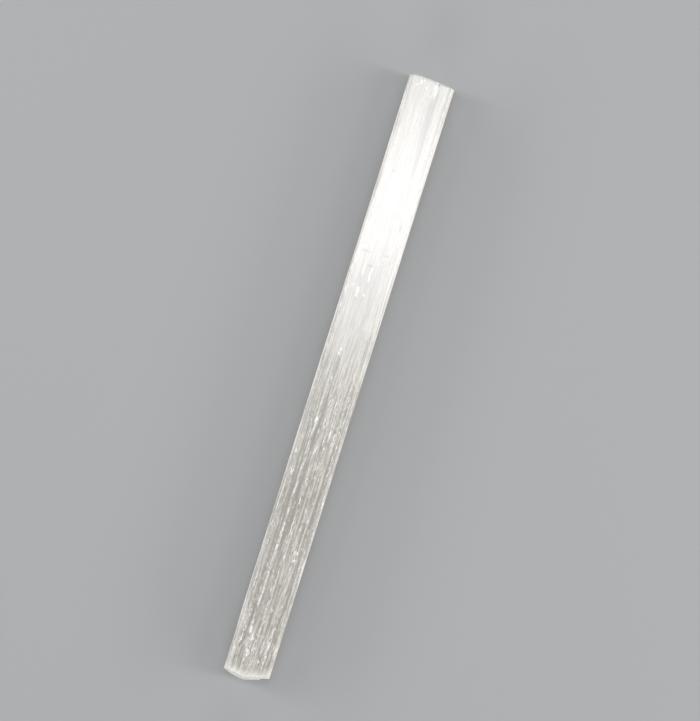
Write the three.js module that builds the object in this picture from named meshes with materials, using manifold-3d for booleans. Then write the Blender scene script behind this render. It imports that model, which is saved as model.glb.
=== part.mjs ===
// Selenite wand: one stick of satin spar, the fibrous form of gypsum, sawn to length and lightly sanded.
// Millimetres. The fibres run along X, +Z is up, and the stick lies on its flat sawn underside at Z = 0.
// Left is +Y and right is -Y, as seen by someone looking along +X.
import * as THREE from "three";
import { mergeVertices } from "three/addons/utils/BufferGeometryUtils.js";
import Module from "manifold-3d";

// Driving dimensions
const LENGTH = 200;
const WIDTH = 15.2;
const THICKNESS = 12;

// Worn edges along the stick: how far each bevel reaches across the stick, and up or down it
const LEFT_BEVEL = { across: 1.35, down: 1.5 };
const RIGHT_BEVEL = { across: 1.45, down: 1.3 };
const FOOT_BEVEL = { across: 0.9, up: 0.9 };
const SIDE_LEAN = 0.2;

// Striations: fine lengthwise valleys where fibres have come away, and how much they vary as shares of that
const TOP_STRIATION = { pitch: 0.62, depth: 0.06 };
const SIDE_STRIATION = { pitch: 0.75, depth: 0.12 };
const STRIATION_PITCH = [0.5, 1.6];
const VALLEY_DEPTH = [0.45, 1];
const RIDGE_DEPTH = [0, 0.3];

// Ends seen from above: each stands furthest out at its crown and falls back to both sides of it, by its
// sagitta at half a width away. A power of 1 falls back straight. The end at -X is sanded to a dome, and the
// end at +X is sawn.
const DOMED_END = {
  crown: 0.4,
  left: { sagitta: 2, power: 2 },
  right: { sagitta: 2.25, power: 1.15 },
  rounding: { back: 2.8, down: 3 },
};
const SAWN_END = {
  crown: 3.8,
  left: { sagitta: 1.4, power: 2 },
  right: { sagitta: 0.58, power: 1.5 },
  rounding: { back: 0.2, down: 0.3 },
};
const ROUNDING_STEPS = 8;
const CURVE_STEPS = 7;

// Breaks that the outline shows: a sliver split off the left edge, a chipped corner at the domed end,
// and a notch between two fibres at the sawn end's left corner
const LEDGE = { length: 16.2, runout: 1.3, depth: 0.25 };
const LEFT_BOW = { from: -38, deepest: 54, depth: 0.14, endDepth: 0.1 };
const CORNER_CHIP = { inner: -4.7, back: 0.6, outerBack: 0.35, lean: 0.15 };
const CORNER_NOTCH = { from: 6.5, to: 7.25, depth: 0.6, lean: 0.15 };

// A splinter from above, with a blunt root at the origin and its tip towards +X. A corner's place along it is
// a share of the length plus a share of the width, and its place across is a share of the width.
const SPLINTER_CORNERS = [
  { length: 0, along: 0.4, across: -0.3 },
  { length: 0.3, along: 0, across: -0.5 },
  { length: 1, along: 0, across: 0.15 },
  { length: 0.15, along: 0.4, across: 0.5 },
  { length: 0, along: 0, across: 0.1 },
];

// Splinters still on the stone, lifted at the root. A negative length points from the root towards -X.
const SPLINTER_RISE = 0.2;
const SPLINTER_SINK = 0.12;
const SPLINTER_BURIED = 0.8;
const TOP_SPLINTERS = [
  { x: -93.2, y: 1.9, length: 5.2, width: 1.35 },
  { x: -85.2, y: 1.5, length: -2.6, width: 0.9 },
  { x: -89.8, y: 5.1, length: 8, width: 0.8 },
  { x: -71.2, y: 3, length: -7.5, width: 0.65 },
  { x: -71.4, y: 0.4, length: 4.2, width: 1.05 },
  { x: -56.4, y: -3.8, length: -6, width: 0.9 },
  { x: -34.2, y: 5.7, length: 4.2, width: 0.6 },
  { x: -28.6, y: -1.5, length: -7.6, width: 0.55 },
  { x: -29.6, y: 1.1, length: 12, width: 1.2 },
  { x: -14, y: 2.9, length: -8, width: 0.8 },
  { x: 99.5, y: -2, length: -4.7, width: 0.9 },
];

// Hollows on the top where splinters have gone, deep at the root and running out to nothing. A hollow's floor
// rises by a little more than its depth, so that it runs out just before the tip.
const SCAR_RUNOUT = 1.1;
const TOP_SCARS = [
  { x: 103, y: -2.3, length: -36, width: 2.1, depth: 0.16 },
  { x: -97, y: 4.1, length: 62, width: 1.1, depth: 0.16 },
  { x: -58, y: 1.8, length: 58, width: 0.8, depth: 0.15 },
  { x: -22, y: -0.2, length: -66, width: 0.9, depth: 0.16 },
  { x: 52, y: -4.6, length: -88, width: 1, depth: 0.14 },
  { x: 60.4, y: 6.6, length: -2.6, width: 1.1, depth: 0.4 },
];

// Hollows on the two sides, within these limits, with their height measured up from the middle of the side
const SIDE_SCARS = {
  count: 9,
  length: [18, 64],
  width: [0.8, 2.2],
  depth: [0.22, 0.5],
  height: [-3.9, 3.1],
};

// Where a scattered hollow may lie in its own share of a run
const SCATTER = [0.2, 0.8];

// How far cutting tools reach past the stick
const CLEAR = 12;
const SEED = 20;

const HALF = LENGTH / 2;
const SIDE = WIDTH / 2;
const FACE = THICKNESS - SPLINTER_RISE;
const X = new THREE.Vector3(1, 0, 0);
const Y = new THREE.Vector3(0, 1, 0);
const Z = new THREE.Vector3(0, 0, 1);

// The faces as places to work: local X runs along the fibres and local Z points out of the stone
const TOP = new THREE.Matrix4().makeBasis(X, Y, Z).setPosition(0, 0, FACE);
const LEFT = new THREE.Matrix4().makeBasis(X, Z.clone().negate(), Y).setPosition(0, SIDE, FACE / 2);
const RIGHT = new THREE.Matrix4().makeBasis(X, Z, Y.clone().negate()).setPosition(0, -SIDE, FACE / 2);

const wasm = await Module();
wasm.setup();

/** Repeatable numbers from 0 to 1, so the stick is the same each time it is made. */
function seededRandom(seed) {
  let state = seed;
  return () => {
    state = (state + 0x6d2b79f5) | 0;
    let mixed = Math.imul(state ^ (state >>> 15), 1 | state);
    mixed = (mixed + Math.imul(mixed ^ (mixed >>> 7), 61 | mixed)) ^ mixed;
    return ((mixed ^ (mixed >>> 14)) >>> 0) / 4294967296;
  };
}

const random = seededRandom(SEED);
const between = (low, high) => low + (high - low) * random();

/** A closed three.js geometry as a solid that can be joined and cut. */
function solidOf(geometry) {
  geometry.deleteAttribute("normal");
  geometry.deleteAttribute("uv");
  const merged = mergeVertices(geometry);
  const vertProperties = merged.getAttribute("position").array;
  const triVerts = new Uint32Array(merged.index.array);
  return new wasm.Manifold(new wasm.Mesh({ numProp: 3, vertProperties, triVerts }));
}

/** The solid as a three.js geometry with flat-shaded faces. */
function geometryOf(solid) {
  const { vertProperties, triVerts } = solid.getMesh();
  const geometry = new THREE.BufferGeometry();
  geometry.setAttribute("position", new THREE.BufferAttribute(vertProperties, 3));
  geometry.setIndex(new THREE.BufferAttribute(triVerts, 1));
  const faceted = geometry.toNonIndexed();
  faceted.computeVertexNormals();
  return faceted;
}

/** An outline drawn in local X and Y, pushed along local Z, then placed by a matrix. */
function prism(shape, depth, placed, options = {}) {
  const settings = { depth, bevelEnabled: false, ...options };
  return solidOf(new THREE.ExtrudeGeometry(shape, settings).applyMatrix4(placed));
}

/** Points from one corner of a face to the next, dipping into the stick where fibres have come away. */
function striate(from, to, { pitch, depth }) {
  const along = to.clone().sub(from);
  const length = along.length();
  along.normalize();
  const inward = new THREE.Vector2(-along.y, along.x);
  const points = [];
  let dips = true;
  for (let at = pitch; at < length - pitch; at += pitch * between(...STRIATION_PITCH)) {
    const dip = depth * between(...(dips ? VALLEY_DEPTH : RIDGE_DEPTH));
    points.push(from.clone().addScaledVector(along, at).addScaledVector(inward, dip));
    dips = !dips;
  }
  return points;
}

/** The stick's cross-section, drawn across (local X) and up (local Y): a bar with worn, bevelled edges. */
function sectionShape() {
  const foot = SIDE - SIDE_LEAN;
  const at = (across, up) => new THREE.Vector2(across, up);
  const leftFoot = at(foot, FOOT_BEVEL.up);
  const leftShoulder = at(SIDE, FACE - LEFT_BEVEL.down);
  const leftBrow = at(SIDE - LEFT_BEVEL.across, FACE);
  const rightBrow = at(RIGHT_BEVEL.across - SIDE, FACE);
  const rightShoulder = at(-SIDE, FACE - RIGHT_BEVEL.down);
  const rightFoot = at(-foot, FOOT_BEVEL.up);
  return new THREE.Shape([
    at(FOOT_BEVEL.across - foot, 0),
    at(foot - FOOT_BEVEL.across, 0),
    leftFoot,
    ...striate(leftFoot, leftShoulder, SIDE_STRIATION),
    leftShoulder,
    leftBrow,
    ...striate(leftBrow, rightBrow, TOP_STRIATION),
    rightBrow,
    rightShoulder,
    ...striate(rightShoulder, rightFoot, SIDE_STRIATION),
    rightFoot,
  ]);
}

/** The stick seen from above: straight on the right, a little bowed on the left, with the split ledge. */
function planShape() {
  const ledgeEnd = LEDGE.length - HALF;
  const ledgeSide = SIDE - LEDGE.depth;
  return new THREE.Shape()
    .moveTo(-HALF - CLEAR, -SIDE)
    .lineTo(HALF + CLEAR, -SIDE)
    .lineTo(HALF + CLEAR, SIDE - LEFT_BOW.endDepth)
    .lineTo(LEFT_BOW.deepest, SIDE - LEFT_BOW.depth)
    .lineTo(LEFT_BOW.from, SIDE)
    .lineTo(ledgeEnd + LEDGE.runout, SIDE)
    .lineTo(ledgeEnd, ledgeSide)
    .lineTo(-HALF - CLEAR, ledgeSide);
}

/** How far an end has fallen back from its furthest point, at a place across the stick. */
function fallBack({ crown, left, right }, across) {
  const { sagitta, power } = across > crown ? left : right;
  return sagitta * (Math.abs(across - crown) / SIDE) ** power;
}

/** Everything on the stone's side of an end that faces -X or +X, from above and wider than the stick. */
function endShape(end, facing) {
  const far = HALF + 2 * CLEAR;
  const shape = new THREE.Shape().moveTo(-facing * far, WIDTH).lineTo(-facing * far, -WIDTH);
  const edges = [-WIDTH, end.crown, WIDTH];
  for (let step = 0; step <= 2 * CURVE_STEPS; step += 1) {
    const half = Math.min(1, Math.floor(step / CURVE_STEPS));
    const across = THREE.MathUtils.lerp(edges[half], edges[half + 1], step / CURVE_STEPS - half);
    shape.lineTo(facing * (HALF - fallBack(end, across)), across);
  }
  return shape;
}

/** A tall prism that trims an end of the stick to its curve and rounds its rims over, above and below. */
function roundedEnd(end, facing) {
  const { back, down } = end.rounding;
  const rims = {
    bevelEnabled: true,
    bevelSize: back,
    bevelOffset: -back,
    bevelThickness: down,
    bevelSegments: ROUNDING_STEPS,
  };
  return prism(endShape(end, facing), FACE - 2 * down, new THREE.Matrix4().makeTranslation(0, 0, down), rims);
}

/** The sawn and sanded stick before any splinters are lost or lifted. */
function stick() {
  const alongX = new THREE.Matrix4().makeBasis(Y, Z, X).setPosition(-HALF - CLEAR, 0, 0);
  const upward = new THREE.Matrix4().makeTranslation(0, 0, -CLEAR);
  const section = prism(sectionShape(), LENGTH + 2 * CLEAR, alongX);
  const plan = prism(planShape(), THICKNESS + 2 * CLEAR, upward);
  const ends = roundedEnd(DOMED_END, -1).intersect(roundedEnd(SAWN_END, 1));
  return section.intersect(plan).intersect(ends);
}

/** The corner that has chipped off the domed end along a fibre. */
function cornerChip() {
  const { inner, back, outerBack, lean } = CORNER_CHIP;
  const endAt = (across) => fallBack(DOMED_END, across) - HALF;
  const shape = new THREE.Shape()
    .moveTo(-HALF - CLEAR, inner + lean)
    .lineTo(-HALF - CLEAR, -WIDTH)
    .lineTo(endAt(-SIDE) + outerBack, -WIDTH)
    .lineTo(endAt(-SIDE) + outerBack, -SIDE)
    .lineTo(endAt(inner - lean) + back, inner - lean)
    .lineTo(endAt(inner), inner + lean);
  return prism(shape, THICKNESS + 2 * CLEAR, new THREE.Matrix4().makeTranslation(0, 0, -CLEAR));
}

/** The gap between two fibres at the sawn end's left corner, open at the top. */
function cornerNotch() {
  const { from, to, depth, lean } = CORNER_NOTCH;
  const mouth = HALF + CLEAR;
  const shape = new THREE.Shape()
    .moveTo(mouth, from - depth)
    .lineTo(mouth, to)
    .lineTo(HALF - fallBack(SAWN_END, to) - depth, to)
    .lineTo(HALF - fallBack(SAWN_END, from), from - lean);
  return prism(shape, THICKNESS, new THREE.Matrix4().makeTranslation(0, 0, FACE / 2));
}

/** A splinter's outline on its face, drawn out along local X. */
function splinterShape(length, width) {
  const corners = SPLINTER_CORNERS.map((corner) => {
    const along = corner.length * length + corner.along * width;
    return new THREE.Vector2(along, corner.across * width);
  });
  return new THREE.Shape(corners);
}

/** Stands a splinter or a hollow on a face: its root at x and y, at a height out of the face, then tilted. */
function placedOn(face, { x, y, length }, height, tilt) {
  const turn = new THREE.Matrix4().makeRotationZ(length < 0 ? Math.PI : 0);
  const lean = new THREE.Matrix4().makeRotationY(tilt);
  return new THREE.Matrix4().makeTranslation(x, y, height).multiply(turn).multiply(lean).premultiply(face);
}

/** A splinter that has lifted at its root and is still rooted in the stone at its tip. */
function liftedSplinter(face, where) {
  const reach = Math.abs(where.length);
  const tilt = Math.atan((SPLINTER_RISE + SPLINTER_SINK) / reach);
  const placed = placedOn(face, where, SPLINTER_RISE, tilt);
  placed.multiply(new THREE.Matrix4().makeTranslation(0, 0, -SPLINTER_BURIED));
  return prism(splinterShape(reach, where.width), SPLINTER_BURIED, placed);
}

/** The hollow that a lost splinter leaves. Its floor rises from the root and meets the face at the tip. */
function scar(face, where) {
  const reach = Math.abs(where.length);
  const placed = placedOn(face, where, -where.depth, -Math.atan((where.depth * SCAR_RUNOUT) / reach));
  return prism(splinterShape(reach, where.width), CLEAR, placed);
}

/** Hollows spread along one side, kept below its shoulder so that the outline from above stays straight. */
function sideScars(face, up) {
  const { count, length, width, depth, height } = SIDE_SCARS;
  return Array.from({ length: count }, (_, index) => {
    const reach = between(...length);
    const step = LENGTH / count;
    const x = (index + between(...SCATTER)) * step - HALF;
    const where = { x, y: up * between(...height), length: x > 0 ? -reach : reach };
    return scar(face, { ...where, width: between(...width), depth: between(...depth) });
  });
}

/** The finished stick: broken corners and hollows cut away, lifted splinters joined on. */
function seleniteWand() {
  const lost = [
    cornerChip(),
    cornerNotch(),
    ...TOP_SCARS.map((where) => scar(TOP, where)),
    ...sideScars(LEFT, -1),
    ...sideScars(RIGHT, 1),
  ];
  const lifted = TOP_SPLINTERS.map((where) => liftedSplinter(TOP, where));
  const worn = lost.reduce((stone, hollow) => stone.subtract(hollow), stick());
  return lifted.reduce((stone, splinter) => stone.add(splinter), worn);
}

const satinSpar = new THREE.MeshStandardMaterial({ color: 0xe6e3dc, roughness: 0.38, metalness: 0 });
const mesh = new THREE.Mesh(geometryOf(seleniteWand()), satinSpar);
mesh.name = "selenite_wand";

const wand = new THREE.Group();
wand.add(mesh);

export default wand;
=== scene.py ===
"""The looks of a selenite wand: one stick of satin spar, a fibrous gypsum, lying on a pale floor.

The stick's surface is read off its solid, ring by ring, and gets the fine relief that the solid leaves
out: fibres side by side, lanes of pale and clear ones, and frayed white ends. Lengths are millimetres while
the surface is worked out, and metres in Blender. The fibres run along X, left is +Y, and the underside is
at Z = 0. Tones and strengths are plain shares.
"""

import functools
import math

import bpy
import numpy as np
from mathutils import Matrix, Vector
from mathutils.bvhtree import BVHTree


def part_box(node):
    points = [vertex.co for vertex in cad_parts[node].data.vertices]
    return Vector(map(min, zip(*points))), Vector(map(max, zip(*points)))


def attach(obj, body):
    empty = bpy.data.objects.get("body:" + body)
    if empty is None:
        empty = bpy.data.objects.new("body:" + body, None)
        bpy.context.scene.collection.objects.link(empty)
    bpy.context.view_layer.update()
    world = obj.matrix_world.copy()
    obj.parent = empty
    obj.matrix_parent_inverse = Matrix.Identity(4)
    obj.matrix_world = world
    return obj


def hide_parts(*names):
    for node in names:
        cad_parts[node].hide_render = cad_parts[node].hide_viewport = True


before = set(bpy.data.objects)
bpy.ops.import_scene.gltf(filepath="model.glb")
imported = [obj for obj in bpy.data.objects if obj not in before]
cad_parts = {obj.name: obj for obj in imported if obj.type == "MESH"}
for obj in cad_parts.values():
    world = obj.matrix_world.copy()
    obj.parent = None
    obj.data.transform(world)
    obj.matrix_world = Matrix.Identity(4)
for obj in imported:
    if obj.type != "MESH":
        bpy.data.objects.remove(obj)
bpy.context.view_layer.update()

NODE = "selenite_wand"
BODY = "root"
MM = 0.001
SEED = 11

# The stick's size, from its solid
low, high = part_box(NODE)
HALF_LENGTH = (high.x - low.x) / 2 / MM
SIDE = (high.y - low.y) / 2 / MM
TOP = high.z / MM
MIDDLE = TOP / 2

# Points round the stick: how far the worn edges reach, and how many points each run gets
BROW = 1.4
FOOT = 0.9
POINTS = {"top": 112, "brow": 10, "side": 44, "foot": 5, "underside": 40}

# Rings along the stick, with a few close to each end
STATIONS = 312
END_STATIONS = (0, 0.06, 0.16, 0.32)

# Rings that close each end: shares of the section that lies this far before the end, and the share of it
# where the rings along the stick stop
END_SHARES = (
    *(0.985, 0.965, 0.935, 0.9, 0.86, 0.81, 0.75, 0.69),
    *(0.65, 0.635, 0.62, 0.605, 0.58, 0.5, 0.4, 0.27, 0.12),
)
END_SECTION = 6
EDGE_SHARE = 0.995

# Where the rays that read the solid start: this far past its ends, or this many times its half width and
# half height from its middle
OUTSIDE = 20
RAY_START = 2

# Places across the domed end where its outline is read, and the share of the width that they span
DOME_PLACES = 61
DOME_SPAN = 0.94

# Passes that soften the solid's facets: across the fibres and along them
SOFTEN_ACROSS = 16
SOFTEN_ALONG = 2

# A face belongs to an end where it is turned to it by more than this share, and wholly so past a fade
END_FACING = 0.25
END_FACING_FADE = 0.4

# Bundles of fibres: width, length, how far they stand out or in, and how much their paleness varies
FIBRES = (
    (1.6, 75, 0.016, 0.3),
    (0.8, 45, 0.012, 0.26),
    (0.45, 20, 0.008, 0.16),
    (0.25, 9, 0.005, 0.1),
)

# Rows of fibre noise that each bundle has to spare, because its rows start at a chance place
SPARE_ROWS = 3

# The sides are painted paler than the top by this tone, as painted light, which comes in on its brows
SIDE_PAINTED_LIGHT = 0.8
SIDE_PAINTED_LIGHT_FROM = 0.6
SIDE_PAINTED_LIGHT_FADE = 1.2

# Lanes along the top: y, start and end, half their width, and how pale (or, below 0, how clear) they are.
# A lane is gone at LANE_EDGE times that half width and runs out softly at its ends. Pale ones stand out
LANES = (
    (5.8, -100, 0, 0.5, 0.35),
    (4.2, -100, -36, 0.6, -0.3),
    (4.0, -46, 4, 0.6, -0.9),
    (3.0, -100, 5, 0.36, 0.65),
    (1.8, -86, 0, 0.5, -1.35),
    (0.6, -44, 4, 0.55, 0.75),
    (-0.2, -100, -2, 0.4, 0.75),
    (-1.05, -90, 0, 0.22, -0.6),
    (-1.9, -98, -34, 0.4, -0.5),
    (-2.6, -66, 0, 0.45, 0.6),
    (-3.5, -56, -6, 0.3, -0.6),
    (-3.4, -100, -74, 0.25, -0.6),
    (-4.35, -100, -54, 0.45, 1.2),
    (-4.5, -60, 2, 0.34, 0.45),
    (-5.3, -100, 0, 0.35, -0.6),
    (-6.8, -100, 4, 0.5, -0.6),
    # The four wide lanes span the whole top and make it lighter and darker along its length; the two from x
    # = -6 on shape the bright band as painted light and shade.
    (0, -94, -48, 4.5, 0.18),
    (0, -56, -14, 4.5, -0.32),
    (0, -6, 26, 4.5, 0.36),
    (0, 22, 44, 4.5, -0.32),
    (-1.2, 76, 101, 0.4, -0.5),
    (-2.0, 72, 101, 0.5, -0.5),
    (-3.0, 64, 115, 0.35, -0.75),
    # These two thin lanes darken the crease where the top meets each brow: painted shade.
    (-6.3, 34, 115, 0.18, -1.3),
    (6.3, 66, 115, 0.16, -0.8),
)
LANE_EDGE = 1.5
LANE_RUNOUT = 9
LANE_RISE = 0.012

# Frayed patches on the top: x, y, length, width and strength
FRAYS = (
    (-91.1, 1.8, 3.8, 1.4, 1.3),
    (-86.4, 1.6, 1.8, 1.4, 1.0),
    (-86.6, 5.1, 7.5, 0.7, 1.1),
    (-88.6, 0.6, 9.0, 0.9, 0.6),
    (-83.6, 2.9, 6.6, 0.9, 0.95),
    (-74.2, 3.0, 5.4, 0.55, 1.0),
    (-64.2, 2.9, 7.0, 0.7, 0.75),
    (-69.7, 0.5, 2.6, 1.2, 1.0),
    (-73.0, -0.1, 4.0, 0.4, 0.7),
    (-58.8, -0.3, 6.4, 0.55, 0.9),
    (-51.3, -0.1, 6.4, 0.8, 0.6),
    (-92.8, -2.8, 2.4, 1.1, 0.8),
    (-87.6, -2.7, 5.0, 0.5, 0.8),
    (-87.0, -4.3, 22.0, 0.5, 0.5),
    (-69.4, -5.7, 1.4, 1.1, 0.5),
    (-56.0, 6.0, 5.0, 0.6, 0.55),
    (-56.2, 2.9, 3.0, 0.9, 0.9),
    (-50.8, 2.9, 5.0, 0.9, 0.65),
    (-44.0, 2.9, 2.4, 0.6, 0.8),
    (-37.4, 2.9, 7.0, 0.5, 1.0),
    (-28.9, 2.8, 1.2, 1.0, 0.9),
    (-58.0, 1.5, 4.0, 0.7, 0.45),
    (-58.4, -3.9, 9.0, 1.6, 0.65),
    (-40.6, 0.1, 3.6, 0.6, 0.7),
    (-42.0, -2.8, 2.4, 0.5, 0.7),
    (-32.2, -1.5, 5.0, 0.4, 1.0),
    (-31.8, 5.7, 4.0, 0.6, 1.0),
    (-25.6, 6.0, 2.0, 0.4, 0.6),
    (-23.6, 0.3, 5.0, 0.8, 0.9),
    (-21.4, -1.7, 5.0, 0.9, 0.8),
    (-16.4, 2.9, 8.0, 1.6, 0.5),
    (-14.6, -0.1, 3.4, 0.7, 0.9),
    (-15.4, -2.8, 9.6, 0.6, 0.8),
    (-16.2, -4.4, 7.0, 0.4, 0.6),
    (-8.0, -1.9, 4.0, 1.2, 0.45),
    (-8.2, 3.0, 3.0, 0.5, 0.5),
    (-7.4, 0.3, 4.0, 1.0, 0.5),
    (8.4, 2.4, 2.6, 0.95, 1.5),
    (17.2, 2.6, 2.0, 0.8, 0.5),
    (28.4, 2.8, 4.2, 0.9, 2.1),
    (28.4, 0.5, 3.2, 0.7, 1.4),
    (35.4, 3.1, 7.0, 0.6, 1.6),
    (34.6, 0.4, 5.6, 0.8, 1.3),
    (97.9, -1.8, 4.4, 0.9, 1.5),
    (94.9, -1.0, 1.6, 0.6, 1.2),
    (97.4, 1.0, 3.6, 0.6, 1.2),
    (98.0, 3.2, 2.6, 0.6, 1.2),
    (97.6, 4.6, 3.0, 0.6, 1.2),
)

# A patch ends at these shares of its width and length, and the fuller it is, the steeper it ends. Clear
# lanes fray less, down to a least share. Frayed fibres stand out, in bundles of a width and a length
FRAY_ACROSS = 0.7
FRAY_ALONG = 0.65
FRAY_FULLNESS = 1.8
FRAY_LEAST = 0.15
FRAY_RISE = 0.05
FRAY_FIBRES = (0.3, 2.2)

# Rows of roughened fibres from the domed end to the polished part: their width and length, how much of the
# stone they take up and how sharply they begin, and their strength and reach
ROUGH_ROWS = (0.5, 14)
ROUGH_SHARE = 0.5
ROUGH_CONTRAST = 0.7
ROUGH = 0.42
ROUGH_TO = 10
ROUGH_FADE = 40

# How rough the rows are on even stone, how much more (or less) in a pale (or clear) lane, and the limits
ROUGH_EVEN = 0.6
ROUGH_IN_LANE = 0.7
ROUGH_LIMITS = (0.05, 1.2)

# Rows of small frayed patches: how many, the steps in a row and its length, a patch's length and width, a
# row's strength and a patch's share of it, and how far round from the middle of the top the rows may lie
STRAY_ROWS = 240
STRAY_GAP = (1.2, 6)
STRAY_ROW_LENGTH = (4, 45)
STRAY_LENGTH = (0.8, 4)
STRAY_WIDTH = (0.25, 0.6)
STRAY_STRENGTH = (0.25, 0.7)
STRAY_VARIATION = (0.6, 1.2)
UNDERSIDE_FROM = 18.5

# The top is polished from about here towards the sawn end, where the bright band falls; its colour there is
# partly a painted wash of that band. The border is soft, slants, and lies nearer to the domed end on pale
# fibres. The polish reaches this far over the brows, with a soft edge
SMOOTH_TOP_FROM = 2
SMOOTH_TOP_FADE = 28
SMOOTH_TOP_SLANT = 0.7
SMOOTH_TOP_RAGGED = 8
SMOOTH_TOP_OVER = 1.3
SMOOTH_TOP_EDGE = 2.5

# Polish leaves this share of the small frayed patches, and takes SMOOTH_TOP_CALM off fraying that is well
# below SMOOTH_TOP_CALM_TO
SMOOTH_TOP_SHARE = 0.05
SMOOTH_TOP_CALM = 1.2
SMOOTH_TOP_CALM_TO = 0.4

# Band that is sanded round the domed end: how far it reaches, and how softly it ends
SANDED_BAND = 4.8
SANDED_FADE = 4

# White line along each shoulder, partly wear and partly painted edge glow: half its width, the width and
# length of the stretches in which it comes and goes, how much of it they keep, and how sharply they begin
EDGE_GLOW_AND_WEAR_SHOULDER = 0.4
EDGE_GLOW_AND_WEAR_STRETCHES = (3, 11)
EDGE_GLOW_AND_WEAR_SHARE = 0.55
EDGE_GLOW_AND_WEAR_CONTRAST = 0.75

# White lines round the ends, partly wear and partly painted light on the rims: the width at the domed end,
# and the share of the surface's turn to the sawn end over which the line there comes, and over which it
# goes
DOME_RIM = 0.9
SAWN_RIM = 0.3

# How much of the relief sanding and polish take away, and the height over the floor where it comes in
SANDED_AWAY = 0.7
POLISHED_AWAY = 0.45
RELIEF_FROM = 0.1
RELIEF_FADE = 0.5

# What the material reads from the surface, point by point. The worn lines hold painted edge glow
# as well as wear
ATTRIBUTES = ("tone", "lane_tone", "polish_and_sheen", "fray", "sanded", "worn")

# A broken hairline crack and two nicks on the top, with painted shade in them: x, y, and how far each
# reaches from there along x and y.
# Across y, a mark is whole to a share of its reach
MARKS = (
    (41.8, 4.0, 0.3, 1.9),
    (37.6, 1.2, 0.28, 1.0),
    (42.0, -3.0, 0.28, 1.2),
    (58.9, 6.75, 0.6, 0.35),
    (68.7, 2.9, 0.4, 0.6),
)
MARK_WHOLE = 0.6

# Colours of the stone: clear and pale fibres, the polished part with a painted wash of the bright band and
# the clear lanes in it, frayed fibres, sanded ends and the cut fibres in them, worn edges with painted
# glow, and painted shade in cracks and nicks
CLEAR_FIBRE = (0.375, 0.357, 0.32, 1)
PALE_FIBRE = (0.7, 0.675, 0.622, 1)
POLISHED_SHEEN_WASH = (0.557, 0.551, 0.538, 1)
GLASSY = (0.432, 0.434, 0.434, 1)
FRAYED = (1, 0.985, 0.945, 1)
SANDED = (0.92, 0.9, 0.855, 1)
CUT_FIBRE = (0.73, 0.71, 0.665, 1)
EDGE_GLOW_AND_WEAR = (0.97, 0.955, 0.92, 1)
CRACK_SHADE = (0.24, 0.228, 0.204, 1)

# Noise in the stone: waves a metre along X, Y and Z, and levels of detail
STREAKS = ((30, 1600, 1600), 2)
FINE_FIBRES = ((120, 2200, 2200), 2)
DASHES = ((520, 2800, 2800), 2)
GRIT = ((1300, 2000, 2000), 1)
SCRATCHES = ((900, 80, 1600), 2)
NOISE_ROUGHNESS = 0.55

# Numbers of the sockets of a Mix node that take two colours and give their mixture
MIX_FIRST = 6
MIX_SECOND = 7
MIX_RESULT = 2

# How pale a fibre is: a middle value, what its tone counts, and how far each noise swings it. Dashes and
# grit are stirred up, more so where the stone frays. Last come the values of a clear and a pale fibre
PALENESS = 0.48
TONE_PALENESS = 0.42
STREAK_PALENESS = 2.0
FINE_PALENESS = 2.6
DASH_PALENESS = 1.0
GRIT_PALENESS = 0.6
STIRRED = 1.1
STIRRED_BY_FRAY = 4.2
CLEAR_TO_PALE = (-0.1, 1.1)

# White flecks: what fraying counts, how far each noise swings it, and where a fleck starts and is whole
FRAY_FLECK = 0.62
DASH_FLECK = 2.5
FINE_FLECK = 1.6
GRIT_FLECK = 1.2
FLECK_RANGE = (0.42, 0.95)

# How strongly polish with its painted wash, glassy lanes and the painted shade in cracks colour the stone,
# and the lane tone that is wholly glassy
POLISHED_SHEEN_WASH_SHARE = 0.58
GLASSY_SHARE = 0.45
GLASSY_TONE = -0.8
CRACK_SHADE_SHARE = 0.24

# Sanded ends: what fine fibres and scratches count, and the values of a cut fibre and of sanded stone
FINE_IN_CUT = 0.6
SCRATCH_IN_CUT = 0.4
CUT_TO_SANDED = (0.38, 0.62)

# Worn edges with painted glow: the values of the fine fibres between which their strength grows,
# and that strength
EDGE_GLOW_AND_WEAR_RANGE = (0.3, 0.6)
EDGE_GLOW_AND_WEAR_STRENGTH = (0.4, 0.9)

# Roughness of plain fibres, and what flecks, glassy lanes, cracks and sanding add to it
ROUGHNESS = 0.33
FLECK_ROUGHNESS = 0.06
GLASSY_ROUGHNESS = 0.055
CRACKED_ROUGHNESS = 0.2
SANDED_ROUGHNESS = 0.15

# Bump: how high streaks and flecks stand, how polish changes the streaks, and its strength and size
STREAK_HEIGHT = 0.5
POLISHED_HEIGHT = -0.25
FLECK_HEIGHT = 0.4
BUMP = {"Strength": 0.3, "Distance": 0.00004}

# Silky gloss across the fibres, and light that enters the stone and spreads in it
STONE = {
    "IOR": 1.78,
    "Specular IOR Level": 1.0,
    "Anisotropic": 1.0,
    "Subsurface Weight": 0.4,
    "Subsurface Radius": (1, 0.92, 0.82),
    "Subsurface Scale": 0.003,
}

# Floor: its paint, and how far it reaches, in metres
FLOOR_PAINT = {"Base Color": (0.404, 0.41, 0.421, 1), "Roughness": 0.9}
FLOOR_REACH = 4

# The photograph in pixels: its size, and the middle, length and lean of the stick in it
PHOTO = (700, 721)
PHOTO_MIDDLE = (338.4, 380.1)
PHOTO_LENGTH = 630.25
PHOTO_LEAN = math.radians(17.45)

# Camera: its height over the stick in metres, and its sensor in millimetres
CAMERA_HEIGHT = 1.0
SENSOR_WIDTH = 36

# What the lights face on the stick, in metres: the bright band, the middle, and each end
BAND = (0.06, 0, TOP * MM)
CENTRE = (0, 0, TOP * MM)
DOMED_END = (-HALF_LENGTH * MM, 0, TOP * MM)
SAWN_END = (HALF_LENGTH * MM, 0, TOP * MM)

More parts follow.
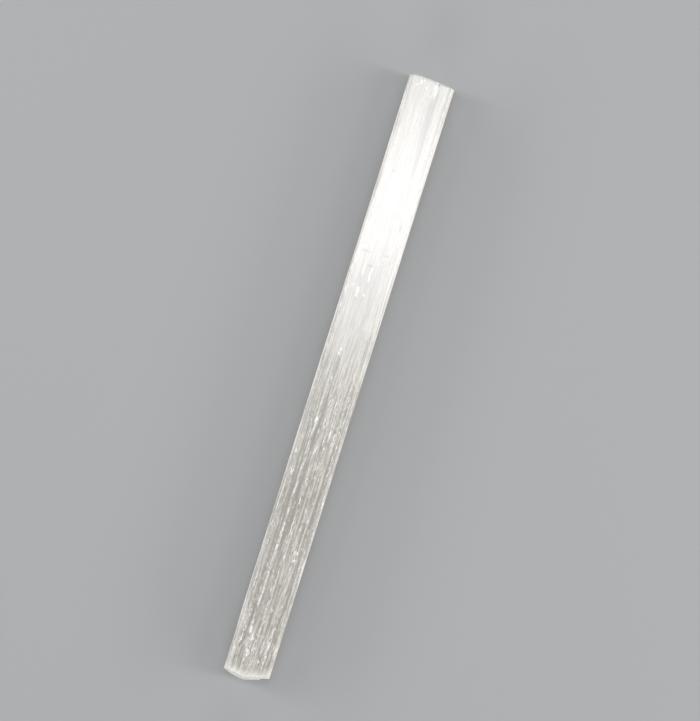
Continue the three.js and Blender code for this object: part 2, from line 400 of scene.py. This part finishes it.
# Soft boxes: name, place, what it faces and its size in metres, and its power in watts. The arch stands
# across the stick, and its mirror image in the fibres is the bright band
LIGHTS = (
    ("arch_top", (0.13, 0, 1.05), BAND, (0.18, 0.9), 2.48),
    ("arch_left", (0.105, 0.75, 0.62), BAND, (0.12, 0.5), 1.54),
    ("arch_right", (0.105, -0.75, 0.62), BAND, (0.12, 0.5), 1.97),
    ("left_strip", (0, 0.9, 0.3), CENTRE, (1.4, 0.2), 3.93),
    ("right_strip", (0, -0.9, 0.3), CENTRE, (1.4, 0.2), 3.93),
    ("near_fill", (-0.9, 0, 0.4), DOMED_END, (0.3, 0.8), 2.6),
    ("far_fill", (0.9, 0, 0.4), SAWN_END, (0.3, 0.8), 2.15),
)

# Even light from all round
WORLD_COLOUR = (1, 1, 1, 1)
WORLD_STRENGTH = 0.222


def smooth(t):
    """Eases a share from 0 to 1."""
    t = np.clip(t, 0, 1)
    return t * t * (3 - 2 * t)


# Surface read off the solid


def section_outline():
    """Points (y, z) round the stick: over the top to the right, down, back under and up the left side."""
    corners = [
        ((SIDE - BROW, TOP), "top"),
        ((BROW - SIDE, TOP), "brow"),
        ((-SIDE, TOP - BROW), "side"),
        ((-SIDE, FOOT), "foot"),
        ((FOOT - SIDE, 0), "underside"),
        ((SIDE - FOOT, 0), "foot"),
        ((SIDE, FOOT), "side"),
        ((SIDE, TOP - BROW), "brow"),
    ]
    runs = []
    for index, (start, run) in enumerate(corners):
        end = corners[(index + 1) % len(corners)][0]
        share = np.arange(POINTS[run])[:, None] / POINTS[run]
        runs.append(np.array(start) * (1 - share) + np.array(end) * share)
    return np.vstack(runs)


def solid_tree():
    """The solid as a tree that rays can be cast at, in metres."""
    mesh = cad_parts[NODE].data
    return BVHTree.FromPolygons([v.co for v in mesh.vertices], [p.vertices for p in mesh.polygons])


def cast(tree, start, direction):
    """Where a ray meets the solid, in millimetres."""
    hit = tree.ray_cast(Vector(start) * MM, Vector(direction))[0]
    return np.array(hit) / MM


def solid_surface():
    """A grid of points on the solid, (around, along, xyz), with the rings of both ends at its ends."""
    tree = solid_tree()
    outline = section_outline()
    centre = np.array([0, MIDDLE])
    spokes = outline - centre

    def onto_side(x, spoke):
        return cast(tree, (x, *(centre + RAY_START * spoke)), (0, *-spoke))

    def onto_end(end, y, z):
        return cast(tree, (end * (HALF_LENGTH + OUTSIDE), y, z), (-end, 0, 0))

    insets = np.array(END_STATIONS)
    columns = []
    for spoke in spokes:
        rims = {end: onto_side(end * (HALF_LENGTH - END_SECTION), spoke)[1:] - centre for end in (-1, 1)}
        edges = {end: onto_end(end, *(centre + rims[end] * EDGE_SHARE))[0] for end in (-1, 1)}
        evenly = np.linspace(edges[-1], edges[1], STATIONS)[1:-1]
        stations = [*(edges[-1] + insets), *evenly, *(edges[1] - insets[::-1])]
        near = [onto_end(-1, *(centre + rims[-1] * share)) for share in reversed(END_SHARES)]
        body = [onto_side(x, spoke) for x in stations]
        far = [onto_end(1, *(centre + rims[1] * share)) for share in END_SHARES]
        columns.append(near + body + far)
    return soften(np.array(columns))


def soften(points):
    """Wears the facets of the stick's long faces, and leaves its ends as they are."""
    body = slice(len(END_SHARES), -len(END_SHARES))
    worn = points[:, body].copy()
    for _ in range(SOFTEN_ACROSS):
        worn[..., 1:] = (np.roll(worn, 1, axis=0) + 2 * worn + np.roll(worn, -1, axis=0))[..., 1:] / 4
    for _ in range(SOFTEN_ALONG):
        worn[:, 1:-1, 1:] = (worn[:, :-2] + 2 * worn[:, 1:-1] + worn[:, 2:])[..., 1:] / 4
    points[:, body] = worn
    return points


def surface_normals(points):
    """Unit normals of the grid, pointing out of the stick."""
    around = np.roll(points, -1, axis=0) - np.roll(points, 1, axis=0)
    along = np.gradient(points, axis=1)
    normals = np.cross(around, along)
    return normals / np.linalg.norm(normals, axis=2, keepdims=True)


def arc_lengths():
    """How far round the stick each column lies, to the right of the top's middle, and the stick's girth."""
    outline = section_outline()
    steps = np.linalg.norm(np.roll(outline, -1, axis=0) - outline, axis=1)
    girth = steps.sum()
    around = np.cumsum(steps) - steps - (SIDE - BROW)
    return (around + girth / 2) % girth - girth / 2, girth


# Fine relief


class Surface:
    """The stick's surface as it is worked: its points and normals, its relief, and how pale, polished,
    frayed, sanded and worn the stone is at each point. The paler sides are painted light, the worn lines
    partly painted glow, and the polish partly a painted wash of the bright band."""

    def __init__(self):
        self.rng = np.random.default_rng(SEED)
        self.points = solid_surface()
        self.normals = surface_normals(self.points)
        self.lane, self.girth = arc_lengths()
        self.along = self.points[..., 0]
        shape = self.along.shape
        self.around = np.broadcast_to(self.lane[:, None], shape)
        self.relief = np.zeros(shape)
        self.tone = np.zeros(shape)
        self.lane_tone = np.zeros(shape)
        self.fray = np.zeros(shape)
        self.on_sides = 1 - smooth((np.abs(self.normals[..., 0]) - END_FACING) / END_FACING_FADE)

    def fibre_noise(self, width, length):
        """Noise from -1 to 1 in straight bundles of a width and a length, seamless round the stick."""
        lanes = round(self.girth / width)
        rows = math.ceil(2 * (HALF_LENGTH + OUTSIDE) / length) + SPARE_ROWS
        values = self.rng.uniform(-1, 1, (lanes, rows))
        phases = self.rng.uniform(0, 1, lanes)
        place = (self.around / self.girth % 1) * lanes
        number = np.floor(place).astype(int)

        def in_lane(number):
            number = number % lanes
            row = (self.along + HALF_LENGTH + OUTSIDE) / length + phases[number]
            first = np.floor(row).astype(int)
            share = smooth(row - first)
            return values[number, first] * (1 - share) + values[number, first + 1] * share

        share = smooth(place - number)
        return in_lane(number) * (1 - share) + in_lane(number + 1) * share

    def add_fibres(self):
        """Bundles of fibres all over the stick, and the sides painted paler as painted light."""
        for width, length, height, tone in FIBRES:
            noise = self.fibre_noise(width, length)
            self.relief += height * noise
            self.tone += tone * noise
        # Painted light: the sides are made paler than the top.
        past_top = np.abs(self.around) - (SIDE - BROW)
        self.tone += SIDE_PAINTED_LIGHT * smooth((past_top - SIDE_PAINTED_LIGHT_FROM) / SIDE_PAINTED_LIGHT_FADE)

    def add_lanes(self):
        """Pale and clear lanes along the top."""
        for y, start, end, half_width, tone in LANES:
            across = smooth(LANE_EDGE - np.abs(self.around + y) / half_width)
            begun = smooth((self.along - start) / LANE_RUNOUT)
            to_come = smooth((end - self.along) / LANE_RUNOUT)
            self.lane_tone += tone * across * (begun * to_come)
        self.tone += self.lane_tone
        self.relief += LANE_RISE * self.lane_tone

    def add_polish(self):
        """The part of the top that is polished smooth, where the material also paints a wash of the bright
        band.
        """
        on_top = smooth((SIDE - BROW + SMOOTH_TOP_OVER - np.abs(self.around)) / SMOOTH_TOP_EDGE)
        border = SMOOTH_TOP_FROM + SMOOTH_TOP_SLANT * self.around - SMOOTH_TOP_RAGGED * self.tone
        self.polish_and_sheen = on_top * smooth((self.along - border) / SMOOTH_TOP_FADE)

    def add_fray(self, around, x, length, width, strength):
        """A patch of loose fibre ends, strongest in its middle."""
        columns = np.abs(self.lane - around) < width
        across = (self.around[columns] - around) / (FRAY_ACROSS * width)
        lengthways = (self.along[columns] - x) / (FRAY_ALONG * length)
        share = strength * smooth(FRAY_FULLNESS * (1 - np.hypot(across, lengthways)))
        self.fray[columns] = np.maximum(self.fray[columns], share)

    def add_stray_row(self):
        """Small frayed patches one behind another along one fibre."""
        draw = self.rng.uniform
        around = draw(-UNDERSIDE_FROM, UNDERSIDE_FROM)
        x = draw(-HALF_LENGTH, HALF_LENGTH)
        end = x + draw(*STRAY_ROW_LENGTH)
        strength = draw(*STRAY_STRENGTH)
        while x < end:
            on_smooth_top = abs(around) < SIDE - BROW and x > SMOOTH_TOP_FROM
            shown = draw() < (SMOOTH_TOP_SHARE if on_smooth_top else 1)
            patch = (around, x, draw(*STRAY_LENGTH), draw(*STRAY_WIDTH), strength * draw(*STRAY_VARIATION))
            if shown:
                self.add_fray(*patch)
            x += draw(*STRAY_GAP)

    def add_frays(self):
        """Frayed patches, fewer in clear lanes, and roughened rows. Polish calms what is left of them."""
        for x, y, length, width, strength in FRAYS:
            self.add_fray(-y, x, length, width, strength)
        for _ in range(STRAY_ROWS):
            self.add_stray_row()
        self.fray *= np.clip(1 + self.lane_tone, FRAY_LEAST, 1)
        rows = smooth(ROUGH_SHARE + ROUGH_CONTRAST * self.fibre_noise(*ROUGH_ROWS))
        rows *= smooth((ROUGH_TO - self.along) / ROUGH_FADE)
        self.fray += ROUGH * rows * np.clip(ROUGH_EVEN + ROUGH_IN_LANE * self.lane_tone, *ROUGH_LIMITS)
        self.relief += FRAY_RISE * self.fray * (1 + self.fibre_noise(*FRAY_FIBRES)) / 2
        calmed = 1 - smooth(self.fray / SMOOTH_TOP_CALM_TO)
        self.fray -= SMOOTH_TOP_CALM * self.polish_and_sheen * calmed

    def from_dome(self):
        """How far each point lies along X from the domed end's outline."""
        tree = solid_tree()
        places = np.linspace(-DOME_SPAN * SIDE, DOME_SPAN * SIDE, DOME_PLACES)
        outline = [cast(tree, (-HALF_LENGTH - OUTSIDE, y, MIDDLE), (1, 0, 0))[0] for y in places]
        return self.along - np.interp(self.points[..., 1], places, outline)

    def add_wear_and_edge_glow(self):
        """The sanded ends, and the white lines along the edges: partly wear, partly painted glow."""
        from_dome = self.from_dome()
        self.sanded = np.maximum(1 - self.on_sides, smooth((SANDED_BAND - from_dome) / SANDED_FADE))
        # Painted edge glow, partly wear: a white line along each shoulder and round the rims of both ends.
        shoulder = SIDE - BROW + math.hypot(BROW, BROW)
        from_shoulder = (np.abs(self.around) - shoulder) / EDGE_GLOW_AND_WEAR_SHOULDER
        kept = smooth(EDGE_GLOW_AND_WEAR_SHARE + EDGE_GLOW_AND_WEAR_CONTRAST * self.fibre_noise(*EDGE_GLOW_AND_WEAR_STRETCHES))
        shoulder_glow_and_wear = self.on_sides * kept * np.exp(-(from_shoulder**2))
        facing_end = self.normals[..., 0]
        sawn_rim = smooth(facing_end / SAWN_RIM) * smooth((1 - facing_end) / SAWN_RIM)
        dome_rim = smooth((DOME_RIM - from_dome) / DOME_RIM)
        self.worn = np.maximum.reduce([shoulder_glow_and_wear, sawn_rim, dome_rim])

    def finish(self):
        """Moves the points by their relief, and keeps the underside flat on the floor."""
        off_floor = smooth((self.points[..., 2] - RELIEF_FROM) / RELIEF_FADE)
        height = self.relief * self.on_sides * off_floor
        height *= 1 - SANDED_AWAY * self.sanded
        height *= 1 - POLISHED_AWAY * self.polish_and_sheen
        self.points = self.points + self.normals * height[..., None]
        self.points[..., 2] = np.maximum(self.points[..., 2], 0)
        self.fray *= self.on_sides * (1 - self.sanded)


def worked_surface():
    """The surface with all its work done, in the order in which the random numbers are drawn."""
    surface = Surface()
    surface.add_fibres()
    surface.add_lanes()
    surface.add_polish()
    surface.add_frays()
    surface.add_wear_and_edge_glow()
    surface.finish()
    return surface


def wand_mesh():
    """The stick as one closed mesh, with what the material reads from it as point attributes."""
    surface = worked_surface()
    points = surface.points
    columns, rings = points.shape[:2]
    tips = [points[:, end].mean(axis=0, keepdims=True) for end in (0, -1)]
    corners = np.vstack([points.reshape(-1, 3), *tips]) * MM
    index = np.arange(columns * rings).reshape(columns, rings)
    following = np.roll(index, -1, axis=0)
    quads = np.stack([index[:, :-1], following[:, :-1], following[:, 1:], index[:, 1:]], axis=-1)
    near_tip, far_tip = columns * rings, columns * rings + 1
    near = [(int(b), int(a), near_tip) for a, b in zip(index[:, 0], following[:, 0])]
    far = [(int(a), int(b), far_tip) for a, b in zip(index[:, -1], following[:, -1])]
    mesh = bpy.data.meshes.new("wand")
    mesh.from_pydata(corners.tolist(), [], quads.reshape(-1, 4).tolist() + near + far)
    mesh.shade_smooth()
    for name in ATTRIBUTES:
        values = getattr(surface, name)
        ends = [values[:, end].mean() for end in (0, -1)]
        layer = mesh.attributes.new(name, "FLOAT", "POINT")
        layer.data.foreach_set("value", np.append(values.ravel(), ends).astype(np.float32))
    lay_fibres(mesh, surface)
    return mesh


def lay_fibres(mesh, surface):
    """A UV map whose U runs round the stick and whose V runs along its fibres, for the silky highlight."""
    half = 0.5
    u = np.append(surface.around.ravel(), [0, 0]) / surface.girth + half
    v = np.append(surface.along.ravel(), [-HALF_LENGTH, HALF_LENGTH]) / (2 * HALF_LENGTH) + half
    corner = np.zeros(len(mesh.loops), np.int32)
    mesh.loops.foreach_get("vertex_index", corner)
    loop_u, loop_v = u[corner], v[corner]
    starts = np.zeros(len(mesh.polygons), np.int32)
    mesh.polygons.foreach_get("loop_start", starts)
    face = np.repeat(np.arange(len(starts)), np.diff(np.append(starts, len(corner))))
    lowest = np.full(len(starts), np.inf)
    highest = np.full(len(starts), -np.inf)
    np.minimum.at(lowest, face, loop_u)
    np.maximum.at(highest, face, loop_u)
    crosses_seam = (highest - lowest > half)[face]
    loop_u = np.where(crosses_seam & (loop_u < half), loop_u + 1, loop_u)
    layer = mesh.uv_layers.new(name="fibres")
    layer.data.foreach_set("uv", np.stack([loop_u, loop_v], axis=1).astype(np.float32).ravel())


def make_wand():
    wand = bpy.data.objects.new("wand", wand_mesh())
    bpy.context.scene.collection.objects.link(wand)
    wand.data.materials.append(SatinSpar().material)
    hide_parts(NODE)
    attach(wand, BODY)


# Materials


class Nodes:
    """Adds nodes to a material and links them."""

    def __init__(self, name):
        self.material = bpy.data.materials.new(name)
        self.material.use_nodes = True
        self.tree = self.material.node_tree
        self.shader = self.tree.nodes["Principled BSDF"]

    def add(self, kind, inputs=None, **settings):
        node = self.tree.nodes.new("ShaderNode" + kind)
        for key, value in settings.items():
            setattr(node, key, value)
        self.fill(node, inputs or {})
        return node

    def fill(self, node, inputs):
        """Sets each of a node's sockets to a value, or links it to another node's output."""
        for key, value in inputs.items():
            if isinstance(value, bpy.types.NodeSocket):
                self.tree.links.new(value, node.inputs[key])
            else:
                node.inputs[key].default_value = value

    def math(self, operation, *values):
        return self.add("Math", dict(enumerate(values)), operation=operation).outputs[0]

    def fold(self, operation, *values):
        """One value out of several, by an operation on two at a time."""
        return functools.reduce(lambda one, other: self.math(operation, one, other), values)

    def swing(self, noise, reach):
        """Noise moved to lie round 0 and stretched."""
        return self.math("MULTIPLY_ADD", noise, reach, -reach / 2)

    def attribute(self, name):
        return self.add("Attribute", attribute_name=name).outputs["Fac"]

    def place(self):
        """Where a point lies in the stick's own coordinates, in metres."""
        return self.add("TexCoord").outputs["Object"]

    def noise(self, scale, detail):
        """Noise from 0 to 1, stretched by a scale for each axis, in waves a metre."""
        stretched = self.add("Mapping", {"Vector": self.place(), "Scale": scale}).outputs[0]
        settings = {"Vector": stretched, "Scale": 1, "Detail": detail, "Roughness": NOISE_ROUGHNESS}
        return self.add("TexNoise", settings).outputs["Fac"]

    def mix(self, share, first, second):
        """Goes from one colour to another as a share goes from 0 to 1."""
        node = self.add("Mix", {0: share, MIX_FIRST: first, MIX_SECOND: second}, data_type="RGBA")
        return node.outputs[MIX_RESULT]

    def ease(self, value, low, high, to_low=0, to_high=1):
        """Goes smoothly from to_low to to_high as a value goes from low to high."""
        settings = {0: value, 1: low, 2: high, 3: to_low, 4: to_high}
        return self.add("MapRange", settings, interpolation_type="SMOOTHSTEP").outputs[0]


class SatinSpar(Nodes):
    """Silky fibrous stone: clear and pale fibres, white where they fray, and matt where it is sanded."""

    def __init__(self):
        super().__init__("satin_spar")
        self.streaks = self.noise(*STREAKS)
        self.fine = self.noise(*FINE_FIBRES)
        self.dashes = self.noise(*DASHES)
        self.grit = self.noise(*GRIT)
        self.scratches = self.noise(*SCRATCHES)
        self.fray = self.attribute("fray")
        self.sanded = self.attribute("sanded")
        self.polish_and_sheen = self.attribute("polish_and_sheen")
        clear_lane = self.ease(self.attribute("lane_tone"), 0, GLASSY_TONE)
        self.glassy = self.math("MULTIPLY", self.polish_and_sheen, clear_lane)
        self.crack_shade = self.marks()
        self.fleck = self.flecks()
        fibres = self.add("Tangent", direction_type="UV_MAP", uv_map="fibres").outputs[0]
        looks = {"Base Color": self.colour(), "Roughness": self.roughness(), "Normal": self.bump()}
        self.fill(self.shader, {**looks, "Tangent": fibres, **STONE})

    def marks(self):
        """Where the top has cracks or nicks, from 0 to 1: the mask of the painted shade in them."""
        place = self.add("SeparateXYZ", {0: self.place()}).outputs
        on_top = self.math("GREATER_THAN", place[2], (TOP - BROW) * MM)
        shares = []
        for x, y, reach_x, reach_y in MARKS:
            from_x = self.math("ABSOLUTE", self.math("SUBTRACT", place[0], x * MM))
            from_y = self.math("ABSOLUTE", self.math("SUBTRACT", place[1], y * MM))
            near_x = self.ease(from_x, reach_x * MM, 0)
            near_y = self.ease(from_y, reach_y * MM, MARK_WHOLE * reach_y * MM)
            shares.append(self.fold("MULTIPLY", near_x, near_y, on_top))
        return self.fold("MAXIMUM", *shares)

    def flecks(self):
        """Where loose fibre ends scatter light and look white, from 0 to 1."""
        dashes = self.swing(self.dashes, DASH_FLECK)
        fine = self.swing(self.fine, FINE_FLECK)
        grit = self.swing(self.grit, GRIT_FLECK)
        ragged = self.fold("ADD", dashes, fine, grit)
        return self.ease(self.math("MULTIPLY_ADD", self.fray, FRAY_FLECK, ragged), *FLECK_RANGE)

    def paleness(self):
        """How pale the fibres are, from 0 to 1."""
        tone = self.math("MULTIPLY_ADD", self.attribute("tone"), TONE_PALENESS, PALENESS)
        streaks = self.swing(self.streaks, STREAK_PALENESS)
        fine = self.swing(self.fine, FINE_PALENESS)
        dashes = self.swing(self.dashes, DASH_PALENESS)
        grit = self.swing(self.grit, GRIT_PALENESS)
        frayed = self.math("MAXIMUM", self.fray, 0)
        stirred = self.math("MULTIPLY_ADD", frayed, STIRRED_BY_FRAY, STIRRED)
        broken = self.math("MULTIPLY", stirred, self.math("ADD", dashes, grit))
        return self.ease(self.fold("ADD", tone, streaks, fine, broken), *CLEAR_TO_PALE)

    def colour(self):
        stone = self.mix(self.paleness(), CLEAR_FIBRE, PALE_FIBRE)
        # Polished part: partly a painted wash of the bright band, tinted neutral white.
        stone = self.mix(self.math("MULTIPLY", self.polish_and_sheen, POLISHED_SHEEN_WASH_SHARE), stone, POLISHED_SHEEN_WASH)
        stone = self.mix(self.math("MULTIPLY", self.glassy, GLASSY_SHARE), stone, GLASSY)
        cut = self.math("MULTIPLY", self.scratches, SCRATCH_IN_CUT)
        cut = self.math("MULTIPLY_ADD", self.fine, FINE_IN_CUT, cut)
        stone = self.mix(self.sanded, stone, self.mix(self.ease(cut, *CUT_TO_SANDED), CUT_FIBRE, SANDED))
        # Worn edges with painted glow.
        glow_and_wear_here = self.ease(self.fine, *EDGE_GLOW_AND_WEAR_RANGE, *EDGE_GLOW_AND_WEAR_STRENGTH)
        stone = self.mix(self.math("MULTIPLY", self.attribute("worn"), glow_and_wear_here), stone, EDGE_GLOW_AND_WEAR)
        # Painted shade in the cracks and nicks.
        stone = self.mix(self.math("MULTIPLY", self.crack_shade, CRACK_SHADE_SHARE), stone, CRACK_SHADE)
        return self.mix(self.fleck, stone, FRAYED)

    def roughness(self):
        rough = ROUGHNESS
        for share, added in (
            (self.fleck, FLECK_ROUGHNESS),
            (self.glassy, GLASSY_ROUGHNESS),
            (self.crack_shade, CRACKED_ROUGHNESS),
            (self.sanded, SANDED_ROUGHNESS),
        ):
            rough = self.math("MULTIPLY_ADD", share, added, rough)
        return rough

    def bump(self):
        ridged = self.math("MULTIPLY_ADD", self.polish_and_sheen, POLISHED_HEIGHT, STREAK_HEIGHT)
        height = self.math("MULTIPLY", self.fleck, FLECK_HEIGHT)
        height = self.math("MULTIPLY_ADD", self.streaks, ridged, height)
        height = self.math("MULTIPLY_ADD", self.sanded, self.scratches, height)
        return self.add("Bump", {"Height": height, **BUMP}).outputs[0]


def floor_paint():
    n = Nodes("floor_paint")
    n.fill(n.shader, FLOOR_PAINT)
    return n.material


# Stage


def make_camera():
    """Looks straight down, turned so that the stick leans as in the photograph."""
    data = bpy.data.cameras.new("camera")
    pixels_per_metre = PHOTO_LENGTH / (2 * HALF_LENGTH * MM)
    data.sensor_width = SENSOR_WIDTH
    data.lens = SENSOR_WIDTH * pixels_per_metre * CAMERA_HEIGHT / max(PHOTO)
    right = Vector((math.sin(PHOTO_LEAN), -math.cos(PHOTO_LEAN), 0))
    up = Vector((math.cos(PHOTO_LEAN), math.sin(PHOTO_LEAN), 0))
    off_right = (PHOTO[0] / 2 - PHOTO_MIDDLE[0]) / pixels_per_metre
    off_up = (PHOTO_MIDDLE[1] - PHOTO[1] / 2) / pixels_per_metre
    camera = bpy.data.objects.new("camera", data)
    camera.matrix_world = Matrix((right, up, (0, 0, 1))).transposed().to_4x4()
    camera.location = right * off_right + up * off_up + Vector((0, 0, TOP * MM + CAMERA_HEIGHT))
    bpy.context.scene.collection.objects.link(camera)
    bpy.context.scene.camera = camera


def make_floor():
    mesh = bpy.data.meshes.new("floor")
    corners = [(x * FLOOR_REACH, y * FLOOR_REACH, 0) for x, y in ((-1, -1), (1, -1), (1, 1), (-1, 1))]
    mesh.from_pydata(corners, [], [(0, 1, 2, 3)])
    floor = bpy.data.objects.new("floor", mesh)
    floor.data.materials.append(floor_paint())
    bpy.context.scene.collection.objects.link(floor)


def area_light(name, place, target, size, power):
    """A soft box that faces a target, with the first side of its size along the stick where that can be."""
    data = bpy.data.lights.new(name, "AREA")
    data.shape = "RECTANGLE"
    data.size, data.size_y = size
    data.energy = power
    back = (Vector(place) - Vector(target)).normalized()
    second = back.cross(Vector((1, 0, 0))).normalized()
    first = second.cross(back)
    light = bpy.data.objects.new(name, data)
    light.matrix_world = Matrix((first, second, back)).transposed().to_4x4()
    light.location = place
    light.visible_camera = False
    bpy.context.scene.collection.objects.link(light)


def make_lights():
    """The soft boxes, and even light from all round."""
    for settings in LIGHTS:
        area_light(*settings)
    world = bpy.data.worlds.new("studio")
    world.use_nodes = True
    background = world.node_tree.nodes["Background"]
    background.inputs["Color"].default_value = WORLD_COLOUR
    background.inputs["Strength"].default_value = WORLD_STRENGTH
    bpy.context.scene.world = world


make_wand()
make_floor()
make_camera()
make_lights()
bpy.context.scene.view_settings.view_transform = "Standard"
